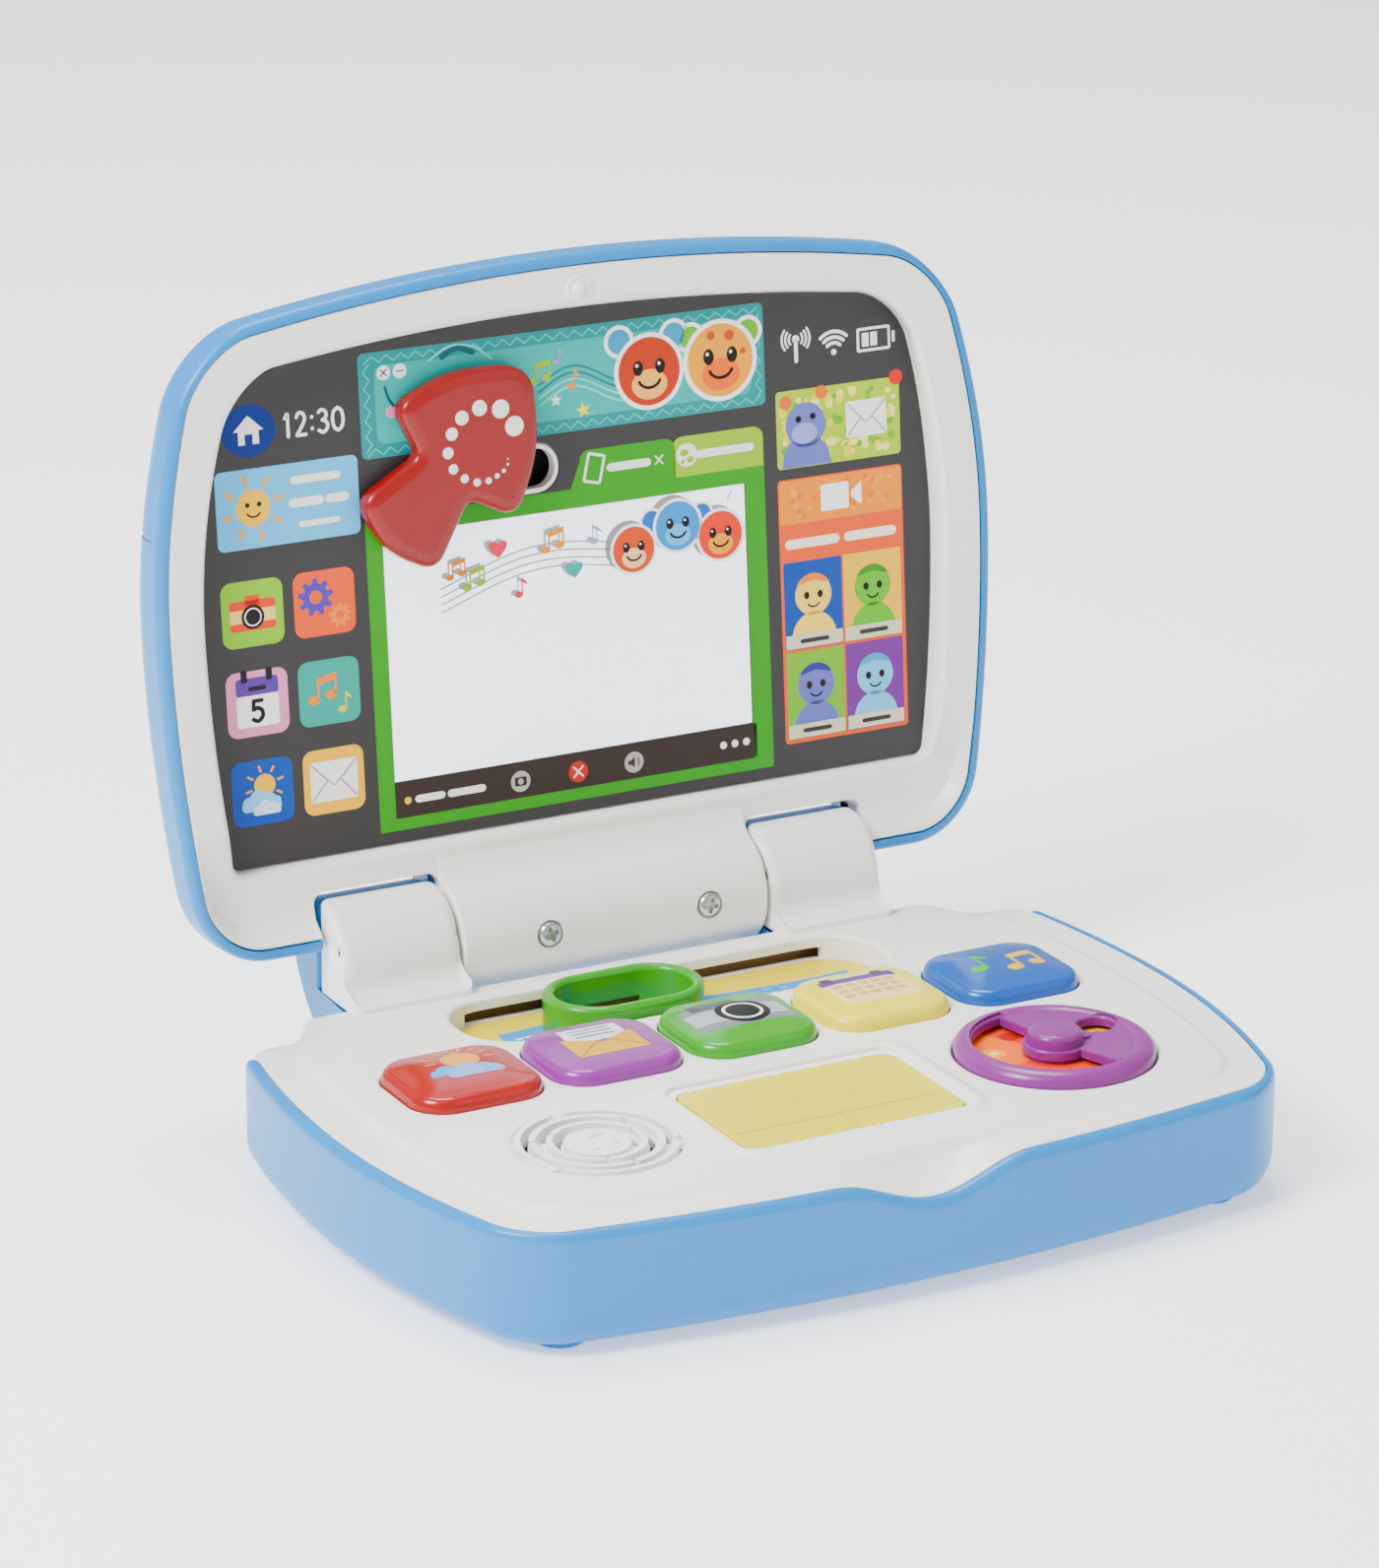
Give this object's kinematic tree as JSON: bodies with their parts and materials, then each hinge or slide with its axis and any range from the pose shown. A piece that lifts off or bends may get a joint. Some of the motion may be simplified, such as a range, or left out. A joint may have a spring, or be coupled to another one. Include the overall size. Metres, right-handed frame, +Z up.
{
  "type": "toy laptop computer",
  "caption": "Clamshell toy laptop: picture keys, finger slider, touchpad, picture dial and speaker in the base; framed screen picture, mirror and sliding arrow in a hinged lid.",
  "frame": {"origin": "bottom centre of the bounding box, with the feet on Z = 0 and the lid open", "axes": "+X to the user's right, +Y away from the user towards the hinge, +Z up"},
  "size_m": [0.2242, 0.1895, 0.199],
  "materials": {
    "blue_plastic": "soft gloss moulded",
    "white_plastic": "soft gloss moulded",
    "grey_print": "printed sheet",
    "mirror": "plastic safety mirror",
    "red_plastic": "gloss moulded",
    "purple_plastic": "gloss moulded",
    "green_plastic": "gloss moulded",
    "yellow_plastic": "gloss moulded",
    "deep_blue_plastic": "gloss moulded",
    "tray_print": "printed strip",
    "dial_print": "printed disc",
    "brown_plastic": "matte moulded",
    "steel": "zinc plated",
    "board": "solder mask",
    "silicone": "moulded",
    "cell": "shrink sleeve",
    "black_plastic": "matte moulded"
  },
  "bodies": {
    "base": {"base_casing": "blue_plastic", "deck_panel": "white_plastic", "battery_door": "blue_plastic", "door_screw": "steel", "battery_1": "cell", "battery_2": "cell", "contact_left": "steel", "contact_right": "steel", "case_screw_1": "steel", "case_screw_2": "steel", "case_screw_3": "steel", "case_screw_4": "steel", "circuit_board": "board", "key_membrane": "silicone", "speaker": "black_plastic", "dial_picture": "dial_print", "slider_tray_print": "tray_print", "hinge_pin_left": "steel", "hinge_pin_right": "steel"},
    "lid": {"lid_bezel": "white_plastic", "lid_shell": "blue_plastic", "screen_print": "grey_print", "mirror": "mirror", "barrel_screw_1": "steel", "barrel_screw_2": "steel"},
    "arrow": {"arrow_cap": "red_plastic", "arrow_washer": "black_plastic"},
    "red_key": {"key_red": "red_plastic"},
    "purple_key": {"key_purple": "purple_plastic"},
    "green_key": {"key_green": "green_plastic"},
    "yellow_key": {"key_yellow": "yellow_plastic"},
    "blue_key": {"key_blue": "deep_blue_plastic"},
    "pad": {"touchpad": "yellow_plastic"},
    "wheel": {"dial": "purple_plastic", "dial_retainer": "black_plastic"},
    "finger_slider": {"slider_ring": "green_plastic", "slider_carriage": "brown_plastic"},
    "switch": {"power_switch": "black_plastic"}
  },
  "joints": [
    {"name": "lid_hinge", "type": "hinge", "parent": "base", "child": "lid", "pos_m": [0, 0.07155, 0.0372], "axis": [1, 0, 0], "range_deg": [-15, 94]},
    {"name": "arrow_slide", "type": "slide", "parent": "lid", "child": "arrow", "axis": [1, 0, 0], "range_m": [-0.005, 0.023]},
    {"name": "red_key_press", "type": "slide", "parent": "base", "child": "red_key", "axis": [0, 0, -1], "range_m": [0, 0.002], "stiffness_N_per_m": 400, "springref_m": -0.001},
    {"name": "purple_key_press", "type": "slide", "parent": "base", "child": "purple_key", "axis": [0, 0, -1], "range_m": [0, 0.002], "stiffness_N_per_m": 400, "springref_m": -0.001},
    {"name": "green_key_press", "type": "slide", "parent": "base", "child": "green_key", "axis": [0, 0, -1], "range_m": [0, 0.002], "stiffness_N_per_m": 400, "springref_m": -0.001},
    {"name": "yellow_key_press", "type": "slide", "parent": "base", "child": "yellow_key", "axis": [0, 0, -1], "range_m": [0, 0.002], "stiffness_N_per_m": 400, "springref_m": -0.001},
    {"name": "blue_key_press", "type": "slide", "parent": "base", "child": "blue_key", "axis": [0, 0, -1], "range_m": [0, 0.002], "stiffness_N_per_m": 400, "springref_m": -0.001},
    {"name": "touchpad_press", "type": "slide", "parent": "base", "child": "pad", "axis": [0, 0, -1], "range_m": [0, 0.0008], "stiffness_N_per_m": 600, "springref_m": -0.001},
    {"name": "dial_turn", "type": "hinge", "parent": "base", "child": "wheel", "pos_m": [0.0584, -0.04765, 0.031], "axis": [0, 0, 1], "continuous": true},
    {"name": "finger_slide", "type": "slide", "parent": "base", "child": "finger_slider", "axis": [1, 0, 0], "range_m": [-0.022, 0.049]},
    {"name": "power_slide", "type": "slide", "parent": "base", "child": "switch", "axis": [1, 0, 0], "range_m": [0, 0.004]}
  ]
}
